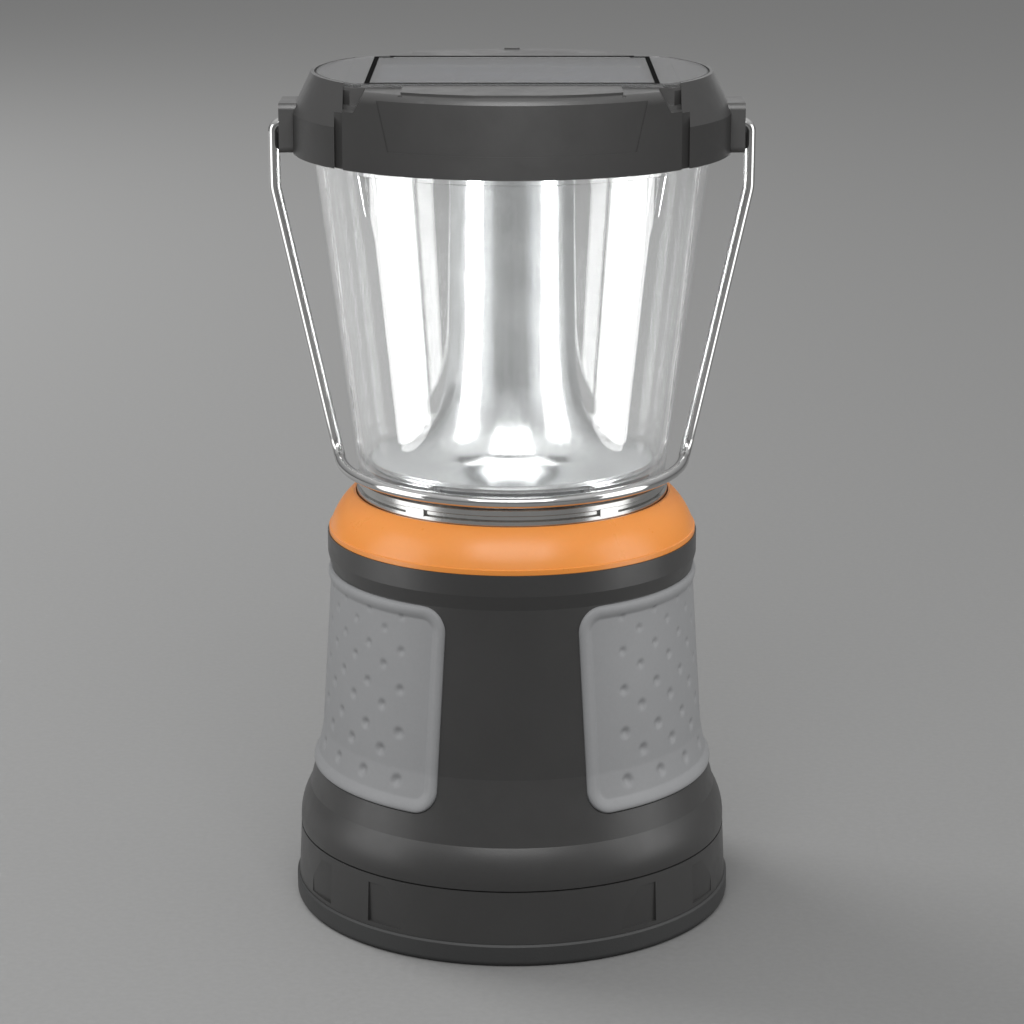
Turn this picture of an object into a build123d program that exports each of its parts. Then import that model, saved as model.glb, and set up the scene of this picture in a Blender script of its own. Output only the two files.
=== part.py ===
from build123d import *
import os
from math import atan, cos, degrees, radians, sin, tan

# A solar camping lantern. Millimetres, +Z up, origin at the centre of the foot's underside.
# The front faces -Y, the control panel is on the back (+Y), and the bail pivots are on the X axis.

# Overall
HEIGHT = 235.0
RUNNING_GAP = 0.4

# Base cover and foot
FOOT_RADIUS = 61.9
FOOT_HEIGHT = 6.2
FOOT_INNER = 57.0
COVER_WALL_LOW = 61.2
COVER_WALL_HIGH = 60.5
COVER_TOP = 20.9
COVER_BORE = 57.9
COVER_FLOOR = 4.5
LUG_COUNT = 3
LUG_TOP = 16.8
TAB_LOW = 17.4
TAB_TOP = 19.6
RAMPS = ((35, -1), (61, 1), (119, -1), (145, 1), (-35, 1), (-61, -1), (-119, 1), (-145, -1))
RAMP_LOW = 7.4
RAMP_HIGH = 18.6
RAMP_HALF_ANGLE = 5.4
RAMP_RADIUS = 60.7
RAMP_LEAN = 3.4

# Body shell
SKIRT_BOTTOM = COVER_TOP + RUNNING_GAP
SKIRT_RADIUS = 60.4
CREASE_RADIUS = 57.7
CREASE_Z = 32.6
FLARE_MIDDLE = 2.0
TAPER_LOW_RADIUS = 53.75
TAPER_LOW_Z = 50.5
TAPER_HIGH_RADIUS = 50.75
TAPER_HIGH_Z = 97.2
BAND_RADIUS = 51.7
BAND_LOW = 101.2
SHELL_TOP = 107.0
SHELL_WALL = 2.6
SPIGOT_OUTER = 55.2
SPIGOT_INNER = 52.6
SPIGOT_BOTTOM = 9.0
DECK_TOP = 104.4
DECK_THICKNESS = 2.4

# Side grips
GRIP_LOW = 39.5
GRIP_HIGH = 97.0
GRIP_INSET_HIGH = 17.4
GRIP_INSET_LOW = 20.6
GRIP_DEPTH = 1.4
GRIP_BORDER = 3.0
GRIP_BORDER_RISE = 0.6
DIMPLE_TOP = 92.8
DIMPLE_COLUMNS = 17
DIMPLE_FIRST_ANGLE = 35.5

# Battery bay: four D-size cells
CELL_RADIUS = 16.75
CELL_LENGTH = 61.5
CELL_LOW = 18.6
CELL_OFFSET = 17.5
UPPER_PLATE_LOW = CELL_LOW + CELL_LENGTH + 0.5
CELL_SLEEVE = 17.0
CELL_SLEEVE_WALL = 1.2
PLATE_RADIUS = 51.6

# Collar and neck
COLLAR_RADIUS = 51.3
COLLAR_TOP = 118.4
COLLAR_BORE = 43.7
NECK_RADIUS = 43.4
NECK_TOP = 124.2

# Globe and reflector
GLOBE_LOW_RADIUS = 42.8
GLOBE_HIGH_RADIUS = 54.0
GLOBE_LOW = 124.6
GLOBE_HIGH = 213.0
GLOBE_TOP = 215.6
GLOBE_WALL = 2.2
REFLECTOR_FOOT_RADIUS = 39.2
REFLECTOR_LOW = 127.6
REFLECTOR_TOP = 213.0
REFLECTOR_THROAT = 16.9
REFLECTOR_WALL = 1.2
COLUMN_RADIUS = 8.0

# Cap
CAP_LOW = 213.4
CAP_RADIUS = 59.6
CAP_SHOULDER = 224.2
CAP_RIM_RADIUS = 54.4
CAP_WALL = 2.6
BLOCK_HALF_WIDTH = 44.0
LEDGE_TOP = 234.0
LEDGE_FRONT = 33.6
LEDGE_ROUNDING = 2.8
PANEL_HALF_X = 36.3
PANEL_HALF_Y = 32.4
TRAY_LOW = 227.6
TRAY_TOP = 229.6
UNDERSIDE_LOW = 216.0
UNDERSIDE_TOP = 217.5
CAP_POST_RADIUS = 46.0

# Bail
WIRE_RADIUS = 1.6
PIVOT_Z = 220.5
BAIL_HALF_WIDTH = 64.7
BAIL_BEND_DROP = 17.5
BAIL_LENGTH = 93.5
BAIL_RING_RADIUS = 48.1
BAIL_REST_TILT = 2.1
LUG_FACE = 62.8
PIN_CLEARANCE = 0.08

# Back panel controls
BUTTON_Z = 83.0
BUTTON_RADIUS = 6.5
INDICATOR_Z = 70.0
PORT_Z = 57.5
PANEL_INSET = 13.0
FLAP_PIVOT_RISE = 4.3
FLAP_PIN_RADIUS = 0.4

parts = {}


def add(name, shape):
    parts[name] = shape


def ring(outer, inner, low, high):
    """Upright ring between two heights."""
    return Pos(0, 0, low) * extrude(Circle(outer) - Circle(inner), high - low)


def disc(radius, low, high):
    return Pos(0, 0, low) * extrude(Circle(radius), high - low)


def block(low, high):
    """Box between two opposite corners."""
    size = [b - a for a, b in zip(low, high)]
    centre = [(a + b) / 2 for a, b in zip(low, high)]
    return Pos(*centre) * Box(*size)


def turned(*edges):
    """Solid of revolution about Z from edges drawn in the XZ plane."""
    placed = [part for edge in edges for part in (Plane.XZ * edge).edges()]
    return revolve(make_face(placed), Axis.Z)


def turned_outline(*points):
    """Solid of revolution about Z from straight (radius, height) corners."""
    return turned(Polyline(*points, close=True))


def sector(outer, inner, low, high, middle, half_angle):
    """Part of an upright ring, centred on an angle measured from +X."""
    reach = outer * 1.5
    edge = [(reach * cos(radians(middle + turn)), reach * sin(radians(middle + turn)))
            for turn in (-half_angle, half_angle)]
    wedge = Pos(0, 0, low) * extrude(make_face(Polyline((0, 0), *edge, close=True)), high - low)
    return ring(outer, inner, low, high) & wedge


def around(count, radius, height, start=0.0):
    """Evenly spaced places on a circle."""
    for index in range(count):
        yield Rot(0, 0, start + 360 * index / count) * Pos(radius, 0, height)


def from_front(angle):
    """Angle from +X of a direction given from the front (-Y), positive towards +X."""
    return angle - 90


def screw(head_radius, shank_radius, length):
    """Screw standing on its tip along +Z, with a cross recess in its head."""
    head = Pos(0, 0, length) * extrude(Circle(head_radius), head_radius * 0.7)
    shank = extrude(Circle(shank_radius), length)
    slot = Box(head_radius * 1.1, head_radius * 0.3, head_radius * 0.6)
    recess = slot + Rot(0, 0, 90) * slot
    return head + shank - Pos(0, 0, length + head_radius * 0.7) * recess


# ---------------------------------------------------------------- base


def thumb_ramp(angle, lean):
    """Cutter for a thumb hold that is deep at one end and fades out at the other."""
    core = Pos(0, lean * RAMP_LEAN, 0) * disc(RAMP_RADIUS, RAMP_LOW - 1, RAMP_HIGH + 1)
    wedge = sector(FOOT_RADIUS + 2, COVER_BORE, RAMP_LOW, RAMP_HIGH, 0, RAMP_HALF_ANGLE)
    return Rot(0, 0, from_front(angle)) * (wedge - core)


def base_cover():
    outline = turned_outline(
        (0, 1.6),
        (FOOT_INNER - 0.2, 1.6),
        (FOOT_INNER - 0.2, FOOT_HEIGHT + 0.05),
        (COVER_WALL_LOW, FOOT_HEIGHT + 0.05),
        (COVER_WALL_HIGH, COVER_TOP),
        (COVER_BORE, COVER_TOP),
        (COVER_BORE, COVER_FLOOR + 4),
        (FOOT_INNER - 3, COVER_FLOOR),
        (0, COVER_FLOOR),
    )
    cover = outline
    for angle, lean in RAMPS:
        cover -= thumb_ramp(angle, lean)
    for index in range(LUG_COUNT):
        cover += sector(COVER_BORE + 0.5, SPIGOT_OUTER + 0.5, TAB_LOW, TAB_TOP, 120 * index, 11)
    for place in around(6, 30, 1.6, 30):
        cover -= place * extrude(Circle(5), 1.0)
    return cover


def foot_ring():
    profile = turned_outline(
        (FOOT_INNER, 0),
        (FOOT_RADIUS, 0),
        (FOOT_RADIUS, FOOT_HEIGHT),
        (FOOT_INNER, FOOT_HEIGHT),
    )
    lower = profile.edges().filter_by(GeomType.CIRCLE).group_by(Axis.Z)[0].sort_by(SortBy.RADIUS)[-1]
    softened = fillet(lower, 1.6)
    upper = softened.edges().filter_by(GeomType.CIRCLE).group_by(Axis.Z)[-1].sort_by(SortBy.RADIUS)[-1]
    return chamfer(upper, 0.5)


def contact_plate():
    """Keyed plate above the cover that carries the lower battery contacts."""
    plate = disc(PLATE_RADIUS, 9.4, 11.6)
    for place in around(4, 46, 9.4, 0):
        plate -= place * extrude(Circle(2.2), 2.2)
    for x, y in cell_centres():
        plate += Pos(x, y, 11.6) * extrude(Circle(8.4) - Circle(7.4), 1.6)
    for side in (-1, 1):
        middle = side * CELL_OFFSET
        plate -= block((middle - 4.2, -30, 11.6), (middle + 4.2, 30, 14))
    return plate


def cell_centres():
    return [(sx * CELL_OFFSET, sy * CELL_OFFSET) for sx in (-1, 1) for sy in (-1, 1)]


def contact_spring():
    """Conical battery spring, widest at its foot."""
    low_radius = 6.2
    high_radius = 3.6
    height = 5.6
    path = Helix(pitch=height / 3.5, height=height, radius=low_radius,
                 cone_angle=-degrees(atan((low_radius - high_radius) / height)))
    profile = Plane(path @ 0, z_dir=path % 0) * Circle(0.45)
    return sweep(profile, path=path)


def contact_springs():
    spring = contact_spring()
    return [Pos(x, y, 12.5) * spring for x, y in cell_centres()]


def lower_contacts():
    """Two metal straps that join the cells in pairs."""
    straps = []
    for side in (-1, 1):
        middle = side * CELL_OFFSET
        straps.append(block((middle - 4, -CELL_OFFSET - 5, 11.62), (middle + 4, CELL_OFFSET + 5, 12.0)))
    return straps


def upper_contact_plate():
    low = UPPER_PLATE_LOW
    plate = disc(47.0, low, low + 2.0) - block((-13, 39.4, low), (13, 50, low + 2.0))
    for place in around(4, 40, low, 0):
        plate -= place * extrude(Circle(1.7), 2.0)
    plate -= disc(6, low, low + 2.0)
    for x, y in cell_centres():
        plate -= Pos(x, y, low) * extrude(Circle(3.2), 2.0)
    return plate


def upper_contacts():
    """Nickel-plated tabs that the cells' caps press on."""
    low = UPPER_PLATE_LOW
    tabs = []
    for x, y in cell_centres():
        tab = Pos(x, y, low - 0.42) * extrude(Circle(6), 0.4)
        stud = Pos(x, y, low - 0.1) * extrude(Circle(3), 3.0)
        tabs.append(tab + stud)
    return tabs


def battery_cell():
    """D-size cell: sleeve with a raised cap on the positive end."""
    can = extrude(Circle(CELL_RADIUS), CELL_LENGTH - 1.6)
    can = chamfer(can.edges().filter_by(GeomType.CIRCLE), 0.7)
    cap = Pos(0, 0, CELL_LENGTH - 1.6) * extrude(Circle(4.6), 1.6)
    crimp = extrude(Circle(CELL_RADIUS + 1) - Circle(CELL_RADIUS - 0.5), 0.8)
    return can + cap - Pos(0, 0, CELL_LENGTH - 5) * crimp


def battery_carrier():
    """Four joined sleeves that hold the cells apart."""
    low = CELL_LOW + 1.4
    high = CELL_LOW + CELL_LENGTH - 2
    outer = CELL_SLEEVE + CELL_SLEEVE_WALL
    carrier = block((-CELL_OFFSET, -CELL_OFFSET, low), (CELL_OFFSET, CELL_OFFSET, high))
    for x, y in cell_centres():
        carrier += Pos(x, y, low) * extrude(Circle(outer), high - low)
    for x, y in cell_centres():
        carrier -= Pos(x, y, low) * extrude(Circle(CELL_SLEEVE), high - low)
    carrier -= disc(4, low, high)
    window = block((-60, -7, low + 14), (60, 7, high - 14))
    for x in (-CELL_OFFSET, CELL_OFFSET):
        carrier -= Pos(x, 0, 0) * Rot(0, 0, 90) * window & Pos(x, 0, 0) * block(
            (-7, -60, low), (7, 60, high))
    return carrier


# ---------------------------------------------------------------- body


def side_edges(shift):
    """Flare and taper of the side wall, moved out by a shift, from the crease to the band."""
    low = (CREASE_RADIUS + shift, CREASE_Z)
    middle = (TAPER_LOW_RADIUS + FLARE_MIDDLE + shift, (CREASE_Z + TAPER_LOW_Z) / 2 - 1.0)
    high = (TAPER_LOW_RADIUS + shift, TAPER_LOW_Z)
    top = (TAPER_HIGH_RADIUS + shift, TAPER_HIGH_Z)
    return [ThreePointArc(low, middle, high), Line(high, top)]


def skin(inner_shift, outer_shift):
    """Shell of revolution that follows the side wall between two shifts."""
    inner = side_edges(inner_shift)
    outer = side_edges(outer_shift)
    low = Line(inner[0] @ 0, outer[0] @ 0)
    high = Line(outer[1] @ 1, inner[1] @ 1)
    return turned(low, outer[0], outer[1], high, inner[1], inner[0])


def grip_window(side, inset):
    """Prism through the body whose outline is one side grip, seen from the front."""
    low = GRIP_LOW + inset
    high = GRIP_HIGH - inset
    outline = FilletPolyline(
        (70, low),
        (GRIP_INSET_LOW + inset * 1.05, low),
        (GRIP_INSET_HIGH + inset * 1.05, high),
        (70, high),
        radius=max(7.0 - inset, 2.5),
    )
    face = make_face([outline, Line((70, high), (70, low))])
    prism = extrude(Plane.XZ * face, 70, both=True)
    return prism if side > 0 else mirror(prism, Plane.YZ)


def dimple(radius, depth):
    """Ball whose cap cuts a dent of the given radius and depth."""
    ball = (radius * radius + depth * depth) / (2 * depth)
    return Sphere(ball), ball - depth


def wall_radius(z):
    """Outer radius of the side wall at a height."""
    if z >= TAPER_LOW_Z:
        share = (z - TAPER_LOW_Z) / (TAPER_HIGH_Z - TAPER_LOW_Z)
        return TAPER_LOW_RADIUS + share * (TAPER_HIGH_RADIUS - TAPER_LOW_RADIUS)
    share = (TAPER_LOW_Z - z) / (TAPER_LOW_Z - CREASE_Z)
    return TAPER_LOW_RADIUS + share ** 1.2 * (CREASE_RADIUS - TAPER_LOW_RADIUS)


def grip_dimples(side):
    """Staggered columns of dents that grow towards the bottom."""
    dents = []
    pitch = (180 - 2 * DIMPLE_FIRST_ANGLE) / (DIMPLE_COLUMNS - 1)
    for column in range(DIMPLE_COLUMNS):
        angle = DIMPLE_FIRST_ANGLE + pitch * column
        stagger = 0.45 * (column % 2)
        for row in range(5 - column % 2):
            step = row + stagger
            z = DIMPLE_TOP - 9.5 * step - 0.63 * step * (step - 1)
            ball, lift = dimple(0.95 + 0.2 * step, 0.5 + 0.09 * step)
            radius = wall_radius(z) + lift
            dents.append(Rot(0, 0, from_front(side * angle)) * Pos(radius, 0, z) * Rot(0, 90, 0) * ball)
    return dents


def side_grip(side):
    pad = skin(-GRIP_DEPTH, GRIP_BORDER_RISE) & grip_window(side, 0)
    pad -= skin(0, GRIP_BORDER_RISE + 2) & grip_window(side, GRIP_BORDER)
    for dent in grip_dimples(side):
        pad -= dent
    return pad


def panel_window(inset):
    """Rounded outline of the back control panel, cut through the back half."""
    width = 2 * (PANEL_INSET - inset)
    height = GRIP_HIGH - GRIP_LOW - 12 - 2 * inset
    face = RectangleRounded(width, height, 5 - inset)
    middle = (GRIP_LOW + GRIP_HIGH) / 2 + 2
    return extrude(Plane((0, 30, middle), x_dir=(1, 0, 0), z_dir=(0, 1, 0)) * face, 40)


def back_hole(radius, z, low=30, high=70):
    """Round hole along Y in the back wall."""
    return Pos(0, low, z) * Rot(-90, 0, 0) * extrude(Circle(radius), high - low)


def body_shell():
    lower = ThreePointArc((SKIRT_RADIUS, SKIRT_BOTTOM), (59.95, 27.4), (CREASE_RADIUS, CREASE_Z))
    arc, taper = side_edges(0)
    rest = Polyline(
        (TAPER_HIGH_RADIUS, TAPER_HIGH_Z),
        (BAND_RADIUS, BAND_LOW),
        (BAND_RADIUS, SHELL_TOP),
        (46.0, SHELL_TOP),
        (46.0, DECK_TOP),
        (TAPER_HIGH_RADIUS - SHELL_WALL + 0.6, DECK_TOP),
        (TAPER_HIGH_RADIUS - SHELL_WALL, TAPER_HIGH_Z),
        (TAPER_LOW_RADIUS - SHELL_WALL, TAPER_LOW_Z),
        (SPIGOT_INNER, 43.0),
        (54.9, 33.6),
        (57.4, 27.0),
        (57.4, 24.2),
        (SPIGOT_INNER, 24.2),
        (SPIGOT_INNER, SPIGOT_BOTTOM),
        (SPIGOT_OUTER, SPIGOT_BOTTOM),
        (SPIGOT_OUTER, SKIRT_BOTTOM),
        (SKIRT_RADIUS, SKIRT_BOTTOM),
    )
    shell = turned(lower, arc, taper, rest)
    for side in (-1, 1):
        shell -= skin(-GRIP_DEPTH - 0.02, 4) & grip_window(side, -0.05)
    shell -= skin(-0.8, 4) & panel_window(-0.05)
    shell -= [back_hole(BUTTON_RADIUS + 0.5, BUTTON_Z), back_hole(1.55, INDICATOR_Z)]
    shell -= block((-5.2, 40, PORT_Z - 2.4), (5.2, 70, PORT_Z + 2.4))
    for index in range(LUG_COUNT):
        shell += sector(COVER_BORE - 0.6, SPIGOT_OUTER - 0.5, 14.2, LUG_TOP, 120 * index, 10)
    for place in around(4, 50.5, 0, 45):
        key = place * Pos(0, 0, 12.0) * block((-1.2, -2.5, 0), (2.5, 2.5, 2.0))
        shell += key
    return shell


def cover_seal():
    """Rubber ring under the skirt that the cover closes around."""
    return ring(COVER_BORE - 0.4, SPIGOT_OUTER + 0.02, 20.0, SKIRT_BOTTOM)


def deck():
    """Plate that closes the body under the neck and carries the circuit board."""
    low = DECK_TOP - DECK_THICKNESS
    plate = disc(48.3, low, DECK_TOP) - disc(7, low, DECK_TOP)
    for place in around(4, 38.5, low, 45):
        plate -= place * extrude(Circle(1.6), DECK_THICKNESS)
    for place in around(4, 30, 0, 0):
        post = place * Pos(0, 0, 96.2) * extrude(Circle(3.2) - Circle(1.3), low - 96.2)
        plate += post
    return plate


def deck_screws():
    return [place * Pos(0, 0, 100.0) * Rot(180, 0, 0) * Pos(0, 0, -10.4) * screw(3.0, 1.45, 10.4)
            for place in around(4, 38.5, 0, 45)]


def main_board():
    board = disc(40.0, 94.5, 96.1) - disc(7, 94.5, 96.1)
    for place in around(4, 30, 94.5, 0):
        board -= place * extrude(Circle(1.6), 1.6)
    return board


def main_board_parts():
    """Charge controller, driver, choke, capacitors and connectors under the board."""
    low = 94.48
    pieces = [
        block((-6, 18, low - 1.6), (6, 26, low)),
        block((14, -8, low - 1.4), (22, 2, low)),
        block((-26, -22, low - 5.5), (-14, -16, low)),
        block((12, 20, low - 5.5), (24, 26, low)),
    ]
    choke = Circle(7) - Circle(3)
    pieces.append(Pos(-18, 12, low - 5) * extrude(choke, 5))
    for x in (-6, 3, 12):
        pieces.append(Pos(x, -16, low - 7) * extrude(Circle(3.6), 7))
    for x in (-6, -2, 2, 6):
        pieces.append(block((x - 1, 10, low - 0.8), (x + 1, 11.6, low)))
    return pieces


def main_board_screws():
    return [place * Pos(0, 0, 101.0) * Rot(180, 0, 0) * screw(2.6, 1.2, 6.5)
            for place in around(4, 30, 0, 0)]


# ---------------------------------------------------------------- collar, neck, globe


def collar_ring():
    curve = ThreePointArc((50.9, 108.6), (48.2, 114.2), (44.3, COLLAR_TOP))
    body = turned(
        curve,
        Polyline(
            (44.3, COLLAR_TOP),
            (COLLAR_BORE, COLLAR_TOP),
            (COLLAR_BORE, SHELL_TOP + 0.05),
            (COLLAR_RADIUS, SHELL_TOP + 0.05),
            (COLLAR_RADIUS, 108.4),
            (50.9, 108.6),
        ),
    )
    return body - ring(48.4, 45.6, SHELL_TOP, 112.0)


def neck_ring():
    """Dark plated ring that joins the body and the globe."""
    neck = turned_outline(
        (NECK_RADIUS, DECK_TOP + 0.02),
        (NECK_RADIUS, 119.6),
        (NECK_RADIUS - 0.7, 120.0),
        (NECK_RADIUS - 0.7, 120.9),
        (NECK_RADIUS, 121.3),
        (NECK_RADIUS, 122.6),
        (NECK_RADIUS - 1.2, NECK_TOP),
        (10, NECK_TOP),
        (10, NECK_TOP - 2.4),
        (39.0, NECK_TOP - 2.4),
        (39.0, 110.0),
        (35.0, 108.0),
        (35.0, DECK_TOP + 0.02),
    )
    for angle in (-37, 37, 143, -143):
        neck += sector(NECK_RADIUS + 0.25, NECK_RADIUS - 2, 119.4, 121.4, from_front(angle), 4)
    for place in around(4, 38.5, DECK_TOP, 45):
        neck += place * extrude(Circle(3.4), 6.0)
        neck -= place * extrude(Circle(1.45), 6.6)
    for place in around(3, 27, NECK_TOP - 2.4, 30):
        neck -= place * extrude(Circle(1.5), 2.4)
    return neck


def globe_radius(z):
    share = (z - GLOBE_LOW) / (GLOBE_HIGH - GLOBE_LOW)
    return GLOBE_LOW_RADIUS + share * (GLOBE_HIGH_RADIUS - GLOBE_LOW_RADIUS)


def globe():
    """Clear tapered chimney with a flanged foot and a rim band."""
    inner_low = GLOBE_LOW + 2.6
    body = turned_outline(
        (38.0, GLOBE_LOW),
        (GLOBE_LOW_RADIUS, GLOBE_LOW),
        (globe_radius(211.2), 211.2),
        (globe_radius(211.2) + 0.9, 211.5),
        (GLOBE_HIGH_RADIUS + 0.9, GLOBE_TOP),
        (GLOBE_HIGH_RADIUS - GLOBE_WALL, GLOBE_TOP),
        (globe_radius(inner_low) - GLOBE_WALL, inner_low),
        (38.0, inner_low),
    )
    for angle in (-46, 46, 134, -134):
        rib = make_face(Polyline((-1.3, 211.4), (1.3, 211.4), (0.9, 200.4), (-0.9, 200.4), close=True))
        bar = extrude(Plane((0, 0, 0), x_dir=(0, 1, 0), z_dir=(1, 0, 0)) * rib, 80)
        shell = turned_outline(
            (globe_radius(200) - 0.5, 200),
            (globe_radius(200) + 0.1, 200),
            (globe_radius(211.4) + 0.9, 211.4),
            (globe_radius(211.4) - 0.5, 211.4),
        )
        body += Rot(0, 0, from_front(angle)) * bar & shell
    for angle in (-30, 30, 150, -150):
        body -= sector(41.2, 37, GLOBE_LOW, inner_low, from_front(angle), 2.6)
    return body


def globe_gasket():
    return ring(42.2, 38.4, NECK_TOP + 0.02, GLOBE_LOW - 0.02)


def reflector():
    """Thin satin trumpet that throws the light outwards."""
    def flare(shift):
        throat = Line((REFLECTOR_THROAT - shift, REFLECTOR_TOP), (17.4 - shift, 166))
        horn = Spline(
            (17.4 - shift, 166),
            (19.4 - shift, 145.4 - shift),
            (26.0 - shift * 0.6, 132.6 - shift),
            (REFLECTOR_FOOT_RADIUS, REFLECTOR_LOW + REFLECTOR_WALL - shift),
            tangents=[(0.01, -1), (1, -0.28)],
        )
        return throat, horn
    outer = flare(0)
    inner = flare(REFLECTOR_WALL)
    rim = Line(outer[1] @ 1, inner[1] @ 1)
    top = Line(inner[0] @ 0, outer[0] @ 0)
    return turned(outer[0], outer[1], rim, inner[1], inner[0], top)


def reflector_seat():
    """Ring inside the globe's foot that the reflector stands on."""
    return ring(37.6, 30.0, NECK_TOP + 0.02, REFLECTOR_LOW - 0.35)


def column():
    """Tube that carries the cap and the wires through the reflector."""
    tube = ring(COLUMN_RADIUS, COLUMN_RADIUS - 1.4, NECK_TOP + 2.4, UNDERSIDE_LOW - 0.02)
    foot = ring(28.6, COLUMN_RADIUS - 1.4, NECK_TOP + 0.02, NECK_TOP + 2.4)
    for place in around(3, 27, NECK_TOP, 30):
        foot -= place * extrude(Circle(1.7), 2.6)
    head = ring(15.4, COLUMN_RADIUS - 1.4, UNDERSIDE_LOW - 2.4, UNDERSIDE_LOW - 0.02)
    return tube + foot + head


def column_screws():
    return [place * Pos(0, 0, NECK_TOP - 3.4) * screw(1.5, 0.9, 5.9)
            for place in around(3, 26.4, 0, 30)]


def wire_harness():
    """Four insulated wires from the circuit board up through the column."""
    wires = []
    for place in around(4, 3.2, 97.0, 45):
        wires.append(place * extrude(Circle(0.8), 122.0))
    return wires


# ---------------------------------------------------------------- cap


def cap_profile(inward):
    """Outside of the cap's round parts, moved inwards."""
    return [
        (CAP_RADIUS - inward, CAP_LOW),
        (CAP_RADIUS - inward, CAP_SHOULDER),
        (CAP_RIM_RADIUS - inward, HEIGHT),
    ]


def end_block(side):
    """Upright block on the front or back of the cap, with its ledge."""
    outline = make_face(Polyline(
        (-BLOCK_HALF_WIDTH, CAP_LOW),
        (BLOCK_HALF_WIDTH, CAP_LOW),
        (BLOCK_HALF_WIDTH, 228.6),
        (BLOCK_HALF_WIDTH - 3.0, 228.6),
        (BLOCK_HALF_WIDTH - 6.0, LEDGE_TOP),
        (-BLOCK_HALF_WIDTH + 6.0, LEDGE_TOP),
        (-BLOCK_HALF_WIDTH + 3.0, 228.6),
        (-BLOCK_HALF_WIDTH, 228.6),
        close=True,
    ))
    prism = extrude(Plane.XZ * outline, 80)
    body = prism & disc(CAP_RADIUS, CAP_LOW, LEDGE_TOP)
    body &= block((-80, -80, CAP_LOW), (80, -LEDGE_FRONT - 0.3, LEDGE_TOP))
    body = fillet(body.edges().filter_by(GeomType.CIRCLE).sort_by(Axis.Z)[-1], LEDGE_ROUNDING)
    room = disc(CAP_RADIUS - CAP_WALL, CAP_LOW - 1, LEDGE_TOP)
    body -= room & block((-80, -80, CAP_LOW - 1), (80, 0, TRAY_LOW))
    upper_room = make_face(Polyline(
        (-38.0, TRAY_LOW),
        (38.0, TRAY_LOW),
        (35.8, LEDGE_TOP - CAP_WALL),
        (-35.8, LEDGE_TOP - CAP_WALL),
        close=True,
    ))
    body -= extrude(Plane.XZ * upper_room, 80) & room & block((-80, -80, TRAY_LOW), (80, -36, HEIGHT))
    recess = make_face(Polyline(
        (-35.4, LEDGE_TOP + 1),
        (35.4, LEDGE_TOP + 1),
        (31.9, 219.4),
        (-31.9, 219.4),
        close=True,
    ))
    body -= extrude(Plane.XZ * recess, 80) & ring(80, CAP_RADIUS - 0.25, CAP_LOW, LEDGE_TOP + 1)
    body += block((-28.4, -56.0, LEDGE_TOP - 0.1), (28.4, -LEDGE_FRONT - 0.5, LEDGE_TOP + 0.6)) & disc(
        CAP_RADIUS - LEDGE_ROUNDING, CAP_LOW, HEIGHT)
    for x in (-28.6, 28.6):
        body -= block((x - 0.5, -60, LEDGE_TOP - 0.5), (x + 0.5, -50, LEDGE_TOP + 1))
    if side < 0:
        return body
    body += block((-2.2, -56.4, LEDGE_TOP - 0.1), (2.2, -54.8, HEIGHT))
    return Rot(0, 0, 180) * body


def pivot_lug(side):
    """Boss that carries one end of the bail."""
    boss = block((CAP_RADIUS - CAP_WALL, -9, CAP_LOW), (LUG_FACE, 9, 226.8))
    edges = boss.edges().filter_by(Axis.X)
    boss = fillet(edges, 1.6)
    boss -= Pos(CAP_RADIUS - 5, 0, PIVOT_Z) * Rot(0, 90, 0) * extrude(Circle(3.0), 12)
    return boss if side > 0 else Rot(0, 0, 180) * boss


def cap_bezel():
    outer = turned_outline((0, CAP_LOW), *cap_profile(0), (0, HEIGHT))
    inner = turned_outline((0, CAP_LOW - 1), (CAP_RADIUS - CAP_WALL, CAP_LOW - 1),
                           *cap_profile(CAP_WALL)[1:], (0, HEIGHT))
    wall = outer - inner
    wall -= block((-BLOCK_HALF_WIDTH, -80, CAP_LOW - 1), (BLOCK_HALF_WIDTH, 80, HEIGHT + 1))
    low_wall = ring(CAP_RADIUS - 1.2, CAP_RADIUS - CAP_WALL, CAP_LOW, 228.0)
    low_wall &= block((-BLOCK_HALF_WIDTH - 2.2, -80, CAP_LOW), (BLOCK_HALF_WIDTH + 2.2, 80, 228))
    for x in (-BLOCK_HALF_WIDTH - 1.1, BLOCK_HALF_WIDTH + 1.1):
        groove = block((x - 1.1, -80, CAP_LOW - 1), (x + 1.1, 80, HEIGHT + 1))
        wall -= groove & ring(80, CAP_RADIUS - 1.2, CAP_LOW - 1, HEIGHT + 1)
    tray = disc(CAP_RADIUS - CAP_WALL + 0.3, TRAY_LOW, TRAY_TOP) - disc(5, TRAY_LOW, TRAY_TOP)
    tray &= turned_outline((0, CAP_LOW), *cap_profile(1.0), (0, HEIGHT))
    seat_wall = cover_outline(CAP_RIM_RADIUS + 0.6, LEDGE_FRONT + 1.7, TRAY_LOW, LEDGE_TOP)
    seat_wall &= turned_outline((0, CAP_LOW), *cap_profile(0.2), (0, HEIGHT))
    bezel = wall + low_wall + tray + seat_wall + end_block(-1) + end_block(1)
    for place in around(4, CAP_POST_RADIUS, 0, 45):
        bezel += place * Pos(0, 0, UNDERSIDE_TOP + 0.02) * extrude(Circle(3.2), TRAY_TOP - UNDERSIDE_TOP - 1)
        bezel -= place * Pos(0, 0, UNDERSIDE_TOP) * extrude(Circle(1.45), 8)
    for side in (-1, 1):
        bezel += pivot_lug(side)
        hole = Pos(side * (CAP_RADIUS - 6), 0, PIVOT_Z) * Rot(0, side * 90, 0)
        bezel -= hole * extrude(Circle(3.0), 12)
    bezel -= cover_seat()
    return bezel


def cover_outline(radius, half_depth, low, high):
    """Round plate with straight front and back edges."""
    return disc(radius, low, high) & block((-80, -half_depth, low), (80, half_depth, high))


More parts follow.
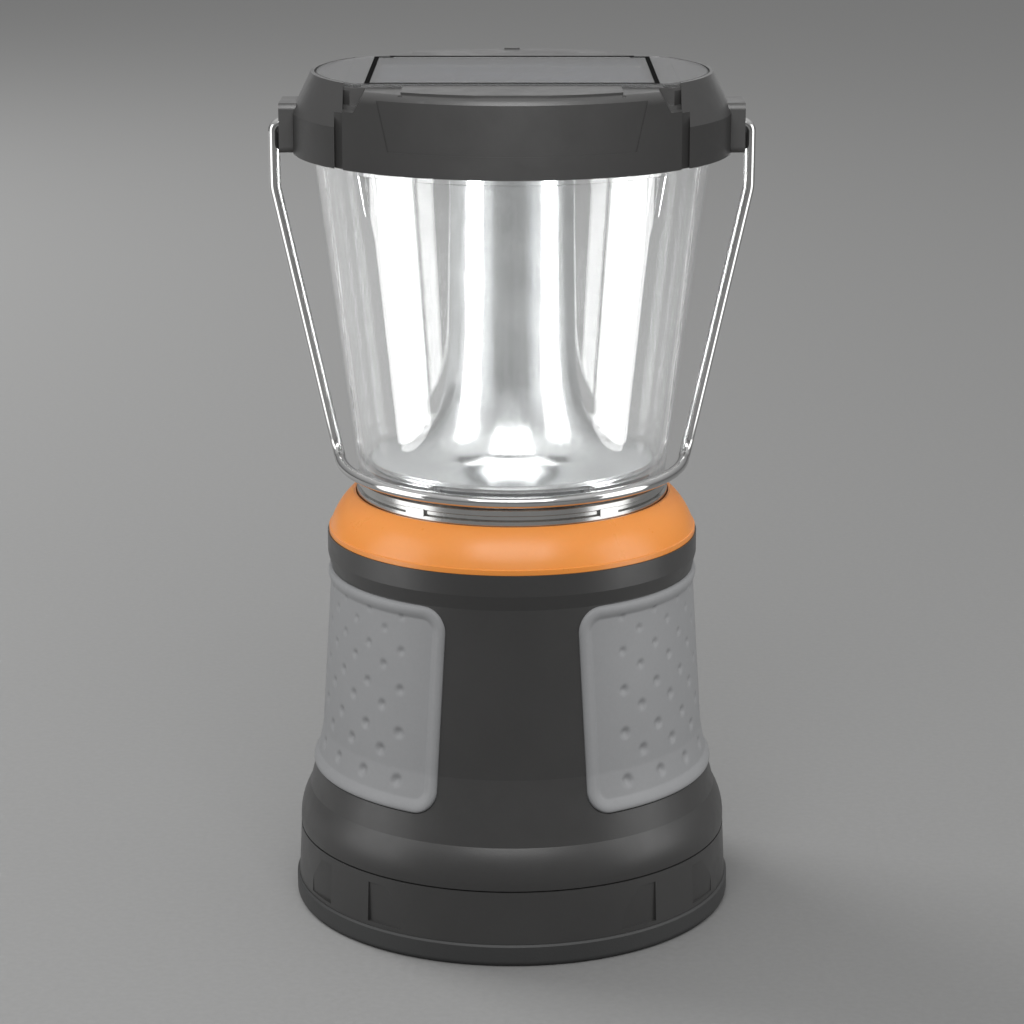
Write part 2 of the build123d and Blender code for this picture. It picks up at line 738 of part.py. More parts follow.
def cover_seat():
    """Room in the bezel for the clear top and the parts under it."""
    return cover_outline(CAP_RIM_RADIUS - 1.0, LEDGE_FRONT + 0.1, TRAY_TOP, HEIGHT + 1)


def cap_underside():
    """Plate that closes the cap from below and presses on the globe's rim."""
    rim = GLOBE_HIGH_RADIUS + 2.6
    plate = ring(rim, COLUMN_RADIUS - 1.3, UNDERSIDE_LOW, UNDERSIDE_TOP)
    opening = ring(37.4, 20.2, UNDERSIDE_LOW, UNDERSIDE_TOP)
    for turn in (45, 135):
        opening -= Rot(0, 0, turn) * block((-40, -2, UNDERSIDE_LOW), (40, 2, UNDERSIDE_TOP))
    plate -= opening
    for place in around(4, CAP_POST_RADIUS, UNDERSIDE_LOW, 45):
        plate -= place * extrude(Circle(1.7), 3)
    return plate


def rim_gasket():
    """Seal between the globe's rim and the cap's underside."""
    outer = GLOBE_HIGH_RADIUS + 0.8
    return ring(outer, outer - 2.8, GLOBE_TOP + 0.02, UNDERSIDE_LOW - 0.02)


def led_window():
    """Clear ring in front of the light-emitting diodes."""
    return ring(39.4, 18.8, UNDERSIDE_LOW - 1.5, UNDERSIDE_LOW - 0.02)


def led_board():
    return ring(38.6, 19.4, UNDERSIDE_TOP + 2.4, UNDERSIDE_TOP + 4.0)


def led_board_spacers():
    return [place * extrude(Circle(2.2) - Circle(0.9), 2.36)
            for place in around(4, 35.6, UNDERSIDE_TOP + 0.02, 0)]


def leds():
    emitters = []
    for place in around(12, 28, UNDERSIDE_TOP + 1.2, 15):
        base = Pos(0, 0, 0.6) * Box(3.5, 3.5, 1.0)
        dome = Pos(0, 0, 0.3) * Sphere(1.3) & Pos(0, 0, -0.7) * Box(4, 4, 1.6)
        emitters.append(place * (base + dome))
    return emitters


def heat_sink():
    """Aluminium plate with radial fins above the board."""
    low = UNDERSIDE_TOP + 4.02
    sink = ring(38.6, 12, low, low + 1.6)
    for place in around(24, 27, low + 1.6, 0):
        sink += place * block((-8, -0.5, -0.1), (8, 0.5, 3.4))
    return sink


def solar_board():
    return cover_outline(47.0, LEDGE_FRONT - 0.2, 229.7, 231.2)


def solar_cells():
    """Ten strips of silicon, wired side by side."""
    count = 10
    pitch = 2 * PANEL_HALF_X / count
    strips = []
    for index in range(count):
        x = -PANEL_HALF_X + pitch * (index + 0.5)
        strips.append(block((x - pitch / 2 + 0.15, -PANEL_HALF_Y, 231.22),
                            (x + pitch / 2 - 0.15, PANEL_HALF_Y, 231.62)))
    return strips


def solar_busbars():
    """Tinned ribbons along the cells."""
    bars = []
    for y in (-PANEL_HALF_Y * 0.55, PANEL_HALF_Y * 0.55):
        bars.append(block((-PANEL_HALF_X, y - 0.6, 231.64), (PANEL_HALF_X, y + 0.6, 231.78)))
    return bars


def solar_frame():
    """Black frame around the panel."""
    outer = block((-PANEL_HALF_X - 2.2, -PANEL_HALF_Y - 0.9, 231.24),
                  (PANEL_HALF_X + 2.2, PANEL_HALF_Y + 0.9, 232.5))
    inner = block((-PANEL_HALF_X - 0.2, -PANEL_HALF_Y - 0.1, 231),
                  (PANEL_HALF_X + 0.2, PANEL_HALF_Y + 0.1, 233))
    return outer - inner


def top_liner(side):
    """Plate under the clear top beside the panel."""
    plate = cover_outline(CAP_RIM_RADIUS - 1.4, LEDGE_FRONT - 0.4, 231.24, 232.5)
    plate -= block((-80, -80, 231), (PANEL_HALF_X + 2.6, 80, 233))
    ridge = block((BLOCK_HALF_WIDTH, -27, 232.3), (BLOCK_HALF_WIDTH + 1.0, 27, 232.7))
    plate += ridge
    return plate if side > 0 else Rot(0, 0, 180) * plate


def top_cover():
    """Clear glossy plate over the panel."""
    plate = cover_outline(CAP_RIM_RADIUS - 1.2, LEDGE_FRONT - 0.15, 232.75, HEIGHT)
    upper = plate.edges().group_by(Axis.Z)[-1]
    return chamfer(upper, 0.4)


def cap_screws():
    return [place * Pos(0, 0, UNDERSIDE_LOW + 8.0) * Rot(180, 0, 0) * screw(2.6, 1.4, 8.02)
            for place in around(4, CAP_POST_RADIUS, 0, 45)]


# ---------------------------------------------------------------- bail


def bent_wire(points, bends):
    """Straight runs joined by tangent arcs; bends holds one radius per inner point."""
    edges = []
    start = Vector(points[0])
    for index, bend in enumerate(bends, 1):
        corner = Vector(points[index])
        arrive = (corner - Vector(points[index - 1])).normalized()
        leave = (Vector(points[index + 1]) - corner).normalized()
        turn = radians(arrive.get_angle(leave))
        reach = bend * tan(turn / 2)
        first = corner - arrive * reach
        last = corner + leave * reach
        to_centre = (leave - arrive).normalized()
        middle = corner + to_centre * (bend / cos(turn / 2) - bend)
        edges.append(Line(start, first))
        edges.append(ThreePointArc(first, middle, last))
        start = last
    return edges, start


def bail_wire():
    """Legs, bends and the half ring, drawn with the legs upright and then tilted to rest."""
    low = PIVOT_Z - BAIL_LENGTH
    lean = radians(7)
    arc_x = BAIL_RING_RADIUS * cos(lean)
    arc_y = -BAIL_RING_RADIUS * sin(lean)
    corner_x = BAIL_RING_RADIUS / cos(lean)
    points = [
        (CAP_RADIUS - 3.4, 0, PIVOT_Z),
        (BAIL_HALF_WIDTH, 0, PIVOT_Z),
        (BAIL_HALF_WIDTH, 0, PIVOT_Z - BAIL_BEND_DROP),
        (corner_x, 0, low),
        (arc_x, arc_y, low),
    ]
    edges, end = bent_wire(points, [2.2, 12, 5])
    leg = edges + [Line(end, points[-1])]
    right = Curve() + leg
    left = mirror(right, Plane.YZ)
    front = ThreePointArc((arc_x, arc_y, low), (0, -BAIL_RING_RADIUS, low), (-arc_x, arc_y, low))
    path = Wire(right.edges() + left.edges() + [front])
    section = Plane(points[0], z_dir=(1, 0, 0)) * Circle(WIRE_RADIUS)
    return sweep(section, path=path)


def tilt_to_rest(shape):
    return Pos(0, 0, PIVOT_Z) * Rot(BAIL_REST_TILT, 0, 0) * Pos(0, 0, -PIVOT_Z) * shape


def bail_bushes():
    """Plain bushes in the lugs that the wire ends turn in."""
    bush = extrude(Circle(2.98) - Circle(WIRE_RADIUS + PIN_CLEARANCE), LUG_FACE - CAP_RADIUS + CAP_WALL)
    return [Pos(side * (CAP_RADIUS - CAP_WALL), 0, PIVOT_Z) * Rot(0, side * 90, 0) * bush
            for side in (-1, 1)]


def bail_clips():
    """Push-on washers that keep the wire ends in the bushes."""
    clip = extrude(Circle(2.6) - Circle(WIRE_RADIUS + 0.01), 0.4)
    return [Pos(side * (CAP_RADIUS - 3.3), 0, PIVOT_Z) * Rot(0, side * 90, 0) * clip
            for side in (-1, 1)]


# ---------------------------------------------------------------- back controls


def control_panel():
    """Thin moulded plate on the back that frames the controls."""
    plate = skin(-0.78, 0.3) & panel_window(0)
    plate -= [back_hole(BUTTON_RADIUS + 0.3, BUTTON_Z), back_hole(1.55, INDICATOR_Z)]
    plate -= block((-5.0, 30, PORT_Z - 2.2), (5.0, 70, PORT_Z + 2.2))
    plate -= block((-7.7, 30, PORT_Z - 4.4), (7.7, 70, PORT_Z + 5.4)) & skin(-0.35, 3)
    return plate


def power_button():
    """Push button with a shallow finger dish."""
    face = wall_radius(BUTTON_Z) + 1.2
    cap = back_hole(BUTTON_RADIUS, BUTTON_Z, face - 5.4, face)
    rim = cap.edges().filter_by(GeomType.CIRCLE).sort_by(Axis.Y)[-1]
    cap = fillet(rim, 0.8)
    collar = back_hole(BUTTON_RADIUS + 1.2, BUTTON_Z, face - 6.4, face - 5.3)
    dish = Pos(0, face + 19.4, BUTTON_Z) * Sphere(20)
    plunger = back_hole(1.6, BUTTON_Z, face - 8.0, face - 6.3)
    return cap + collar + plunger - dish


def button_spring():
    """Return spring around the plunger."""
    face = wall_radius(BUTTON_Z) + 1.2
    length = 3.4
    path = Helix(pitch=length / 3, height=length, radius=3.4)
    coil = sweep(Plane(path @ 0, z_dir=path % 0) * Circle(0.28), path=path)
    return Pos(0, face - 6.75, BUTTON_Z) * Rot(90, 0, 0) * coil


def button_board():
    back = wall_radius(BUTTON_Z) + 1.2 - 10.6
    return block((-10, back - 1.4, INDICATOR_Z - 4), (10, back, BUTTON_Z + 9))


def tact_switch():
    front = wall_radius(BUTTON_Z) + 1.2 - 10.58
    return block((-2, front, BUTTON_Z - 2), (2, front + 0.7, BUTTON_Z + 2))


def indicator():
    """Light pipe from the charge lamp to the panel."""
    face = wall_radius(INDICATOR_Z) + 0.5
    inner = wall_radius(BUTTON_Z) + 1.2 - 10.58
    return back_hole(1.5, INDICATOR_Z, inner, face)


def usb_socket():
    """Metal charging socket."""
    face = wall_radius(PORT_Z) - 0.6
    shell = block((-4.5, face - 7.5, PORT_Z - 1.7), (4.5, face, PORT_Z + 1.7))
    shell = fillet(shell.edges().filter_by(Axis.Y), 1.4)
    bore = block((-4.1, face - 6.5, PORT_Z - 1.3), (4.1, face + 1, PORT_Z + 1.3))
    bore = fillet(bore.edges().filter_by(Axis.Y), 1.1)
    tongue = block((-3.3, face - 6.8, PORT_Z - 0.35), (3.3, face - 1.6, PORT_Z + 0.35))
    return shell - bore + tongue


def usb_board():
    face = wall_radius(PORT_Z) - 0.6
    return block((-9, face - 14, PORT_Z - 3.3), (9, face - 3.6, PORT_Z - 1.74))


def flap_pivot(x):
    """Start of the flap's pivot line, pointing along +X."""
    return Pos(x, wall_radius(PORT_Z) + 1.0, PORT_Z + FLAP_PIVOT_RISE) * Rot(0, 90, 0)


def usb_cover():
    """Rubber flap over the socket, on a pivot at its upper edge."""
    face = wall_radius(PORT_Z)
    plate = block((-7.2, face + 0.25, PORT_Z - 4.0), (7.2, face + 1.65, PORT_Z + 3.5))
    plate = fillet(plate.edges().filter_by(Axis.Y), 1.6)
    plug = block((-3.5, face - 1.2, PORT_Z - 0.9), (3.5, face + 0.3, PORT_Z + 0.9))
    plug = fillet(plug.edges().filter_by(Axis.Y), 0.85)
    pull = block((-2.5, face + 1.4, PORT_Z - 4.6), (2.5, face + 2.4, PORT_Z - 2.8))
    knuckle = flap_pivot(-5) * extrude(Circle(0.9), 10)
    web = block((-5, face + 0.45, PORT_Z + 3.4), (5, face + 1.55, PORT_Z + FLAP_PIVOT_RISE))
    bore = flap_pivot(-6) * extrude(Circle(FLAP_PIN_RADIUS + 0.05), 12)
    return plate + plug + pull + knuckle + web - bore


def usb_hinge_pin():
    """Pin and two ears that the flap turns on."""
    face = wall_radius(PORT_Z)
    pin = flap_pivot(-7) * extrude(Circle(FLAP_PIN_RADIUS), 14)
    ears = []
    for low in (-7.2, 5.4):
        ears.append(block((low, face - 0.28, PORT_Z + 3.9), (low + 1.8, face + 1.45, PORT_Z + 5.1)))
    return pin + ears


def build_parts():
    add("foot_ring", foot_ring())
    add("base_cover", base_cover())
    add("contact_plate", contact_plate())
    add("contact_springs", contact_springs())
    add("lower_contacts", lower_contacts())
    for number, (x, y) in enumerate(cell_centres(), 1):
        add(f"battery_cell_{number}", Pos(x, y, CELL_LOW) * battery_cell())
    add("battery_carrier", battery_carrier())
    add("upper_contact_plate", upper_contact_plate())
    add("upper_contacts", upper_contacts())
    add("cover_seal", cover_seal())
    add("body_shell", body_shell())
    add("grip_left", side_grip(-1))
    add("grip_right", side_grip(1))
    add("deck", deck())
    add("deck_screws", deck_screws())
    add("main_board", main_board())
    add("main_board_parts", main_board_parts())
    add("main_board_screws", main_board_screws())
    add("collar_ring", collar_ring())
    add("neck_ring", neck_ring())
    add("globe_gasket", globe_gasket())
    add("globe", globe())
    add("reflector", reflector())
    add("reflector_seat", reflector_seat())
    add("column", column())
    add("column_screws", column_screws())
    add("wire_harness", wire_harness())
    add("cap_bezel", cap_bezel())
    add("cap_underside", cap_underside())
    add("rim_gasket", rim_gasket())
    add("led_window", led_window())
    add("led_board", led_board())
    add("led_board_spacers", led_board_spacers())
    add("leds", leds())
    add("heat_sink", heat_sink())
    add("solar_board", solar_board())
    add("solar_cells", solar_cells())
    add("solar_busbars", solar_busbars())
    add("solar_frame", solar_frame())
    add("top_liner_left", top_liner(-1))
    add("top_liner_right", top_liner(1))
    add("top_cover", top_cover())
    add("cap_screws", cap_screws())
    add("bail", tilt_to_rest(bail_wire()))
    add("bail_bushes", bail_bushes())
    add("bail_clips", tilt_to_rest(Compound(children=bail_clips())))
    add("control_panel", control_panel())
    add("power_button", power_button())
    add("button_spring", button_spring())
    add("button_board", button_board())
    add("tact_switch", tact_switch())
    add("indicator", indicator())
    add("usb_socket", usb_socket())
    add("usb_board", usb_board())
    add("usb_cover", usb_cover())
    add("usb_hinge_pin", usb_hinge_pin())


def export_parts():
    os.makedirs("parts", exist_ok=True)
    for name, shape in parts.items():
        solids = shape if isinstance(shape, list) else shape.solids()
        solids = [solid for piece in solids for solid in piece.solids()]
        whole = solids[0] if len(solids) == 1 else Compound(children=solids)
        whole.label = name
        export_step(whole, f"parts/{name}.step")
        print(name, len(solids), round(whole.volume, 1))


build_parts()
export_parts()
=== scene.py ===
import math

import bmesh
import bpy
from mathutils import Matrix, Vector
from mathutils.bvhtree import BVHTree


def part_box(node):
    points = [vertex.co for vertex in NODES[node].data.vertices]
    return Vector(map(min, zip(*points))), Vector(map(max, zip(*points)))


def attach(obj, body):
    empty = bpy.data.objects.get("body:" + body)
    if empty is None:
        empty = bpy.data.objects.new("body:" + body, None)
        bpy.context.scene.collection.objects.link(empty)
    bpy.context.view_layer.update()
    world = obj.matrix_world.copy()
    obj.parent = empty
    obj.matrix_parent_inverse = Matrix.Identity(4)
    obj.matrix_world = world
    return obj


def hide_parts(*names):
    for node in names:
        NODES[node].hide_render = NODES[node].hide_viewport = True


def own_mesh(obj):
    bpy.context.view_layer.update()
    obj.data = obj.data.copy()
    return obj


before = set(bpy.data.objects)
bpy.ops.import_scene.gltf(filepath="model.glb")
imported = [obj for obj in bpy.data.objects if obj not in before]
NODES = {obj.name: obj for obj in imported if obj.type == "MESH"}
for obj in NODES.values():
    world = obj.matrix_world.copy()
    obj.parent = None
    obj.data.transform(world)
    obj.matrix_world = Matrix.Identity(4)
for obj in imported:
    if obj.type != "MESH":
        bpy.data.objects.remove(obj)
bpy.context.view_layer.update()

# Camera, in metres
CAMERA_PLACE = (0, -0.82474, 0.32698)
CAMERA_AIM = (0, 0, 0.11115)
LENS_MM = 106.7

SENSOR_MM = 36

# Millimetres in a metre
MM = 1000

# Nodes that glint_left and glint_right light, and that side_left and side_right leave out
SHINING = ("globe", "reflector")

# Sizes of surface detail, as noise scales per metre
PEBBLE = 2600
GRAIN = 900
SCUFF = 75
BLOTCH = 14

# Refractive index of clear acrylic
ACRYLIC_IOR = 1.49


# ---------------------------------------------------------------- node graphs


class Graph:
    """A material's node tree with short calls to add and join nodes."""

    def __init__(self, name, **sockets):
        self.material = bpy.data.materials.new(name)
        self.material.use_nodes = True
        self.tree = self.material.node_tree
        self.shader = self.tree.nodes["Principled BSDF"]
        self.output = self.tree.nodes["Material Output"]
        for socket, value in sockets.items():
            self.shader.inputs[socket.replace("_", " ")].default_value = value
        place = self.tree.nodes.new("ShaderNodeTexCoord")
        self.place = place.outputs["Object"]

    def add(self, kind, inputs=None, **settings):
        node = self.tree.nodes.new("ShaderNode" + kind)
        for setting, value in settings.items():
            setattr(node, setting, value)
        for socket, value in (inputs or {}).items():
            if isinstance(value, bpy.types.NodeSocket):
                self.tree.links.new(value, node.inputs[socket])
            else:
                node.inputs[socket].default_value = value
        return node

    def drive(self, socket, value):
        self.tree.links.new(value, self.shader.inputs[socket])

    def stretched(self, scale):
        """Object coordinates stretched along the axes."""
        return self.add("Mapping", {"Vector": self.place, "Scale": scale}).outputs[0]

    def noise(self, scale, detail=3.0, rough=0.55, place=None, twist=0.0):
        node = self.add("TexNoise", {"Vector": place or self.place, "Scale": scale,
                                     "Detail": detail, "Roughness": rough, "Distortion": twist})
        return node.outputs[0]

    def cells(self, scale, feature="F1", place=None):
        return self.add("TexVoronoi", {"Vector": place or self.place, "Scale": scale}, feature=feature)

    def spread(self, value, low, high, from_low=0.3, from_high=0.7):
        """A 0 to 1 value, such as noise, brought to another range."""
        node = self.add("MapRange", {"Value": value, "From Min": from_low, "From Max": from_high,
                                     "To Min": low, "To Max": high})
        return node.outputs[0]

    def blend(self, factor, first, second):
        node = self.add("Mix", {0: factor, 6: first, 7: second}, data_type="RGBA")
        return node.outputs[2]

    def sum(self, first, second, weight=1.0):
        node = self.add("Math", {0: second, 1: weight, 2: first}, operation="MULTIPLY_ADD")
        return node.outputs[0]

    def above(self, value, edge):
        return self.add("Math", {0: value, 1: edge}, operation="GREATER_THAN").outputs[0]

    def axis(self, letter):
        return self.add("SeparateXYZ", {0: self.place}).outputs[letter]

    def bump(self, height, strength, depth):
        node = self.add("Bump", {"Height": height, "Strength": strength, "Distance": depth})
        self.drive("Normal", node.outputs[0])


def tint(colour, scale=1.0):
    return tuple(channel * scale for channel in colour) + (1.0,)


def moulded(name, colour, roughness, contrast=0.12, pebble=PEBBLE, depth=0.00003, **sockets):
    """Moulded plastic or rubber: flow blotches, scuffed gloss and a spark-eroded grain."""
    graph = Graph(name, **sockets)
    blotch = graph.noise(BLOTCH, 4.0, 0.6)
    fleck = graph.noise(GRAIN, 2.0)
    shade = graph.sum(graph.spread(blotch, 0.0, 0.8), graph.spread(fleck, 0.0, 0.2))
    graph.drive("Base Color", graph.blend(shade, tint(colour, 1 - contrast), tint(colour, 1 + contrast)))
    scuff = graph.noise(SCUFF, 8.0, 0.7, twist=0.4)
    graph.drive("Roughness", graph.spread(scuff, roughness - 0.05, roughness + 0.07))
    grain = graph.sum(graph.noise(pebble, 2.0), graph.noise(pebble / 5, 2.0), 0.4)
    graph.bump(grain, 0.5, depth)
    return graph


def metal(name, colour, roughness, along=(1, 1, 0.03), line=2400, depth=0.000006, contrast=0.1):
    """Drawn, stamped or plated metal: fine lines along one axis and faint clouding."""
    graph = Graph(name, Metallic=1.0)
    lines = graph.noise(line, 3.0, 0.6, place=graph.stretched(along))
    cloud = graph.noise(SCUFF, 6.0, 0.65, twist=0.5)
    shade = graph.sum(graph.spread(cloud, 0.0, 0.7), graph.spread(lines, 0.0, 0.3))
    graph.drive("Base Color", graph.blend(shade, tint(colour, 1 - contrast), tint(colour, 1 + contrast / 2)))
    gloss = graph.sum(graph.spread(cloud, roughness * 0.75, roughness * 1.1),
                      graph.spread(lines, 0.0, roughness * 0.3))
    graph.drive("Roughness", gloss)
    graph.bump(lines, 0.4, depth)
    return graph


def clear(name, colour, roughness):
    """Clear moulded plastic with faint flow marks. Shadow rays pass straight through it."""
    graph = Graph(name, Transmission_Weight=0.97, IOR=ACRYLIC_IOR)
    haze = graph.noise(SCUFF, 7.0, 0.7, twist=0.6)
    shade = graph.spread(haze, 0.0, 1.0)
    graph.drive("Base Color", graph.blend(shade, tint(colour, 0.985), tint(colour)))
    graph.drive("Roughness", graph.spread(haze, roughness * 0.8, roughness * 1.2))
    graph.bump(graph.noise(BLOTCH * 2, 2.0), 0.01, 0.0004)
    pass_light = graph.add("BsdfTransparent", {0: tint(colour, 0.97)})
    lamp_ray = graph.add("LightPath").outputs["Is Shadow Ray"]
    choice = graph.add("MixShader", {0: lamp_ray, 1: graph.shader.outputs[0], 2: pass_light.outputs[0]})
    graph.tree.links.new(choice.outputs[0], graph.output.inputs["Surface"])
    return graph


# ---------------------------------------------------------------- materials


def grip_rubber():
    """Soft grey rubber with a coarse grain."""
    return moulded("grip_rubber_look", (0.235, 0.238, 0.243), 0.55, contrast=0.07, pebble=1900,
                   depth=0.00005, Specular_IOR_Level=0.42)


def reflector_metal():
    """Vacuum plated plastic: bright and satin, with faint upright draw lines."""
    return metal("reflector_metal_look", (0.84, 0.855, 0.86), 0.19, along=(1, 1, 0.02), line=700,
                 depth=0.00001, contrast=0.05)


def circuit_board():
    """Solder mask over copper tracks, with plated holes."""
    graph = Graph("circuit_board_look", Specular_IOR_Level=0.6, Coat_Weight=0.3, Coat_Roughness=0.15)
    track = graph.cells(260, "DISTANCE_TO_EDGE").outputs["Distance"]
    on_track = graph.above(track, 0.09)
    hole = graph.cells(210).outputs["Distance"]
    mask = graph.blend(on_track, (0.03, 0.17, 0.06, 1), (0.012, 0.085, 0.03, 1))
    graph.drive("Base Color", graph.blend(graph.above(hole, 0.13), (0.62, 0.55, 0.4, 1), mask))
    graph.drive("Roughness", graph.spread(graph.noise(GRAIN), 0.28, 0.45))
    graph.bump(graph.add("Math", {0: 1.0, 1: on_track}, operation="SUBTRACT").outputs[0], 0.5, 0.00004)
    return graph


def solar_silicon():
    """Polycrystalline cells with fine finger lines across the busbars."""
    graph = Graph("solar_silicon_look", Specular_IOR_Level=0.5, Coat_Weight=1.0, Coat_Roughness=0.06)
    crystal = graph.cells(240, place=graph.stretched((1, 0.6, 1))).outputs["Color"]
    value = graph.add("RGBToBW", {0: crystal}).outputs[0]
    base = graph.blend(value, (0.006, 0.012, 0.035, 1), (0.022, 0.035, 0.08, 1))
    wave = graph.add("TexWave", {"Vector": graph.place, "Scale": 100.0}, wave_type="BANDS",
                     bands_direction="Y", wave_profile="SIN").outputs[0]
    finger = graph.above(wave, 0.975)
    graph.drive("Base Color", graph.blend(finger, base, (0.42, 0.43, 0.45, 1)))
    graph.drive("Roughness", graph.spread(value, 0.18, 0.34, 0.0, 1.0))
    graph.bump(wave, 0.15, 0.00002)
    return graph


# Depth of the battery's contrast band and of its bare end, from the top
BAND_DEPTH = 0.014
BARE_END = 0.0021


def cell_can():
    """Battery wrapper with a contrast band and bare steel at the top."""
    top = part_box("battery_cell_1")[1].z
    graph = Graph("cell_can_look", Coat_Weight=0.4, Coat_Roughness=0.12)
    height = graph.axis("Z")
    wrapper = graph.blend(graph.spread(graph.noise(SCUFF, 5.0), 0.0, 1.0), (0.012, 0.06, 0.16, 1),
                          (0.02, 0.085, 0.21, 1))
    band = graph.blend(graph.above(height, top - BAND_DEPTH), wrapper, (0.62, 0.56, 0.42, 1))
    steel = graph.above(height, top - BARE_END)
    graph.drive("Base Color", graph.blend(steel, band, (0.6, 0.6, 0.58, 1)))
    graph.drive("Metallic", steel)
    graph.drive("Roughness", graph.spread(graph.noise(GRAIN), 0.25, 0.4))
    graph.bump(graph.noise(GRAIN, 2.0), 0.2, 0.00002)
    return graph


def board_parts():
    """Epoxy bodies of the board's parts, with strong blotches."""
    return moulded("board_parts_look", (0.03, 0.03, 0.032), 0.42, contrast=0.3)


def led_phosphor():
    """Yellow phosphor under a clear silicone drop."""
    return moulded("led_phosphor_look", (0.86, 0.62, 0.12), 0.35, contrast=0.15, pebble=4000,
                   Coat_Weight=0.8, Coat_Roughness=0.08, Subsurface_Weight=0.2,
                   Subsurface_Scale=0.001)


def wire_insulation():
    """Two red and two black wires, told apart by the side they run on."""
    graph = Graph("wire_insulation_look", Specular_IOR_Level=0.5)
    side = graph.above(graph.axis("X"), 0.0)
    tone = graph.spread(graph.noise(GRAIN, 4.0), 0.0, 1.0)
    red = graph.blend(tone, (0.4, 0.012, 0.01, 1), (0.55, 0.03, 0.02, 1))
    black = graph.blend(tone, (0.012, 0.012, 0.013, 1), (0.03, 0.03, 0.032, 1))
    graph.drive("Base Color", graph.blend(side, black, red))
    graph.drive("Roughness", graph.spread(tone, 0.3, 0.42, 0.0, 1.0))
    graph.bump(tone, 0.2, 0.00002)
    return graph


def make_looks():
    """One finished look for each of the record's material slots."""
    made = {
        "charcoal_plastic": moulded("charcoal_plastic_look", (0.034, 0.0335, 0.033), 0.38),
        "grip_rubber": grip_rubber(),
        "foot_rubber": moulded("foot_rubber_look", (0.03, 0.0305, 0.0305), 0.55, pebble=1800,
                               depth=0.00006),
        "seal_rubber": moulded("seal_rubber_look", (0.012, 0.012, 0.0125), 0.5),
        "orange_plastic": moulded("orange_plastic_look", (0.73, 0.255, 0.045), 0.3, contrast=0.05,
                                  depth=0.00002, Subsurface_Weight=0.08, Subsurface_Scale=0.002),
        "dark_plated_plastic": metal("dark_plated_plastic_look", (0.5, 0.5, 0.49), 0.2,
                                     along=(1, 1, 6), line=500),
        "clear_plastic": clear("clear_plastic_look", (0.985, 0.99, 0.99), 0.012),
        "reflector_metal": reflector_metal(),
        "bail_steel": metal("bail_steel_look", (0.62, 0.62, 0.615), 0.09, along=(1, 1, 0.15)),
        "spring_steel": metal("spring_steel_look", (0.55, 0.54, 0.52), 0.22),
        "nickel_strip": metal("nickel_strip_look", (0.66, 0.63, 0.57), 0.25),
        "inner_plastic": moulded("inner_plastic_look", (0.05, 0.052, 0.056), 0.5),
        "white_plastic": moulded("white_plastic_look", (0.72, 0.72, 0.7), 0.4, contrast=0.05),
        "bush_nylon": moulded("bush_nylon_look", (0.03, 0.03, 0.031), 0.4),
        "cell_can": cell_can(),
        "circuit_board": circuit_board(),
        "board_parts": board_parts(),
        "screw_steel": metal("screw_steel_look", (0.5, 0.5, 0.49), 0.25, along=(1, 1, 1)),
        "sink_aluminium": metal("sink_aluminium_look", (0.78, 0.785, 0.79), 0.3, along=(0.05, 1, 1)),
        "led_phosphor": led_phosphor(),
        "solar_silicon": solar_silicon(),
        "black_gloss_plastic": moulded("black_gloss_plastic_look", (0.012, 0.012, 0.013), 0.2,
                                       depth=0.000008, Coat_Weight=0.3, Coat_Roughness=0.05),
        "liner_plastic": moulded("liner_plastic_look", (0.055, 0.055, 0.056), 0.3, depth=0.00001),
        "wire_insulation": wire_insulation(),
        "tinned_copper": metal("tinned_copper_look", (0.68, 0.67, 0.65), 0.22),
        "socket_steel": metal("socket_steel_look", (0.62, 0.62, 0.61), 0.2, along=(1, 0.05, 1)),
    }
    return {slot: graph.material for slot, graph in made.items()}


def dress_cad_nodes(looks):
    """Gives each CAD node the look of the slot that its own material is named after."""
    for node in NODES.values():
        for place in node.material_slots:
            place.material = looks[place.material.name.split(".")[0]]


# ---------------------------------------------------------------- grips


# Side grips, in millimetres, seen from the front
GRIP_INSET_HIGH = 17.4
GRIP_INSET_LOW = 20.6
GRIP_CORNER = 7.0
RIM_WIDTH = 3.7
RIM_RISE = 0.85
RIM_TUCK = 0.5
DENT_TOP = 92.8
DENT_PITCH = 9.5
DENT_PITCH_GROWTH = 0.63
TUCK_WIDTH = 0.6

# Dent pattern: columns, rows in a full column, degrees to the first column, shift of every other column
DENT_COLUMNS = 17
DENT_ROWS = 5
DENT_FIRST_ANGLE = 35.5
DENT_STAGGER = 0.45

# Share of a half turn that the grip's columns are spaced for
GRIP_TURN = 0.78

# In metres: depth of the grip's outer edge into the wall, and a point in front of the body
SKIRT_DEPTH = 0.0009
RAY_START = Vector((0, -0.09, 0))


def wall_profile():
    """Reads the radius of the body's front wall, in millimetres, against height."""
    mesh = NODES["body_shell"].data
    tree = BVHTree.FromPolygons([vertex.co for vertex in mesh.vertices],
                                [polygon.vertices for polygon in mesh.polygons])

    def radius(height):
        hit = tree.ray_cast(RAY_START + Vector((0, 0, height / MM)), Vector((0, 1, 0)))[0]
        return -hit.y * MM

    return radius


def grip_dents(radius):
    """Centre, radius and depth of each dent, on the unrolled wall beside the grip's middle."""
    dents = []
    pitch = (180 - 2 * DENT_FIRST_ANGLE) / (DENT_COLUMNS - 1)
    for column in range(DENT_COLUMNS):
        angle = math.radians(DENT_FIRST_ANGLE + pitch * column - 90)
        for row in range(DENT_ROWS - column % 2):
            step = row + DENT_STAGGER * (column % 2)
            height = DENT_TOP - DENT_PITCH * step - DENT_PITCH_GROWTH * step * (step - 1)
            dents.append((radius(height) * angle, height, 1.05 + 0.21 * step, 0.55 + 0.1 * step))
    return dents


